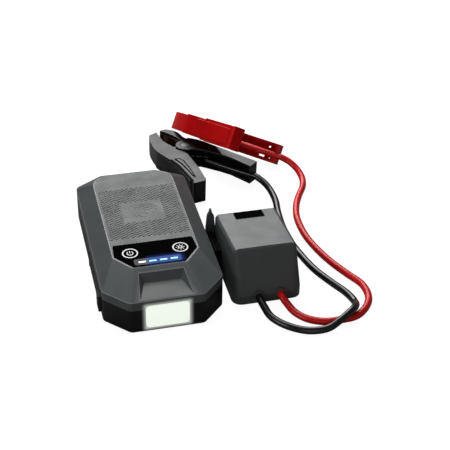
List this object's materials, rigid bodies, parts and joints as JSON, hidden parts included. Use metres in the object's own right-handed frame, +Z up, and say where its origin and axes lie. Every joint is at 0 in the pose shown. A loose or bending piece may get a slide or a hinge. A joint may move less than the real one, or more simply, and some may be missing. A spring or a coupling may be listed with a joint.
{
  "type": "car jump starter pack",
  "caption": "Flat car jump starter pack with a docked lead module, spring battery clamps on black and red leads, flashlight, control panel and USB ports behind a side cover.",
  "frame": {"origin": "middle of the power pack's underside, where it stands", "axes": "+Z up, +Y from the lamp face to the rear, +X towards the docked lead module"},
  "size_m": [0.2162, 0.3275, 0.0568],
  "materials": {
    "shell_gray": "satin, fine grain",
    "shell_black": "matt, fine grain",
    "rubber_black": "matt",
    "steel": "satin",
    "panel_gloss": "high gloss",
    "button_gloss": "high gloss with a white ring",
    "light_bar": "clear, lit from below",
    "circuit_board": "solder mask",
    "cell_foil": "matt foil",
    "copper": "satin copper",
    "contact_brass": "bright",
    "ferrite": "matt",
    "lens_clear": "clear",
    "reflector": "mirror",
    "relay_case": "satin",
    "label_black": "matt",
    "plug_black": "matt",
    "lead_black": "satin",
    "lead_red": "satin",
    "clamp_black": "satin",
    "clamp_red": "satin",
    "jaw_copper": "dark copper plating"
  },
  "bodies": {
    "power_pack": {"lower_shell": "shell_black", "upper_shell": "shell_gray", "rubber_feet": "rubber_black", "case_screws": "steel", "control_panel": "panel_gloss", "button_switches": "steel", "charge_bars": "light_bar", "panel_board": "circuit_board", "battery_cells": "cell_foil", "main_board": "circuit_board", "bus_bars": "copper", "charging_coil": "copper", "ferrite_plate": "ferrite", "flashlight_lens": "lens_clear", "lamp_reflector": "reflector", "lamp_board": "circuit_board", "usb_ports": "steel", "usb_board": "circuit_board", "jump_socket": "plug_black", "socket_contacts": "contact_brass"},
    "power_button_cap": {"power_button": "button_gloss"},
    "light_button_cap": {"light_button": "button_gloss"},
    "port_cover": {"side_port_cover": "rubber_black"},
    "lead_set": {"module_upper_shell": "shell_gray", "module_lower_shell": "shell_gray", "module_screws": "steel", "module_label": "label_black", "module_board": "circuit_board", "module_relay": "relay_case", "plug_body": "plug_black", "plug_pins": "contact_brass", "dock_collar": "shell_gray", "black_gland": "lead_black", "red_gland": "lead_red", "black_lead": "lead_black", "red_lead": "lead_red", "black_fixed_lever": "clamp_black", "black_fixed_jaw": "jaw_copper", "black_hinge_pin": "steel", "black_spring": "steel", "black_lead_tail": "lead_black", "black_crimp": "copper", "red_fixed_lever": "clamp_red", "red_fixed_jaw": "jaw_copper", "red_hinge_pin": "steel", "red_spring": "steel", "red_lead_tail": "lead_red", "red_crimp": "copper"},
    "black_clamp_handle": {"black_moving_lever": "clamp_black", "black_moving_jaw": "jaw_copper"},
    "red_clamp_handle": {"red_moving_lever": "clamp_red", "red_moving_jaw": "jaw_copper"}
  },
  "joints": [
    {"name": "power_button_press", "type": "slide", "parent": "power_pack", "child": "power_button_cap", "axis": [0, 0, -1], "range_m": [0, 0.0006], "stiffness_N_per_m": 2500, "springref_m": -0.0002},
    {"name": "light_button_press", "type": "slide", "parent": "power_pack", "child": "light_button_cap", "axis": [0, 0, -1], "range_m": [0, 0.0006], "stiffness_N_per_m": 2500, "springref_m": -0.0002},
    {"name": "port_cover_hinge", "type": "hinge", "parent": "power_pack", "child": "port_cover", "pos_m": [-0.0475, -0.0035, 0.011], "axis": [0, 0, -1], "range_deg": [0, 110]},
    {"name": "lead_plug_slide", "type": "slide", "parent": "power_pack", "child": "lead_set", "axis": [1, 0, 0], "range_m": [0, 0.03]},
    {"name": "black_clamp_hinge", "type": "hinge", "parent": "lead_set", "child": "black_clamp_handle", "pos_m": [0.0622, 0.145, 0.01], "axis": [0.0248, 0.0283, 0.9993], "range_deg": [0, 35], "stiffness_Nm_per_rad": 1.5, "springref_deg": -28.65, "deforming": ["black_spring"]},
    {"name": "red_clamp_hinge", "type": "hinge", "parent": "lead_set", "child": "red_clamp_handle", "pos_m": [0.0913, 0.1663, 0.0179], "axis": [0.4203, 0.4078, 0.8106], "range_deg": [0, 35], "stiffness_Nm_per_rad": 1.5, "springref_deg": -28.65, "deforming": ["red_spring"]}
  ]
}
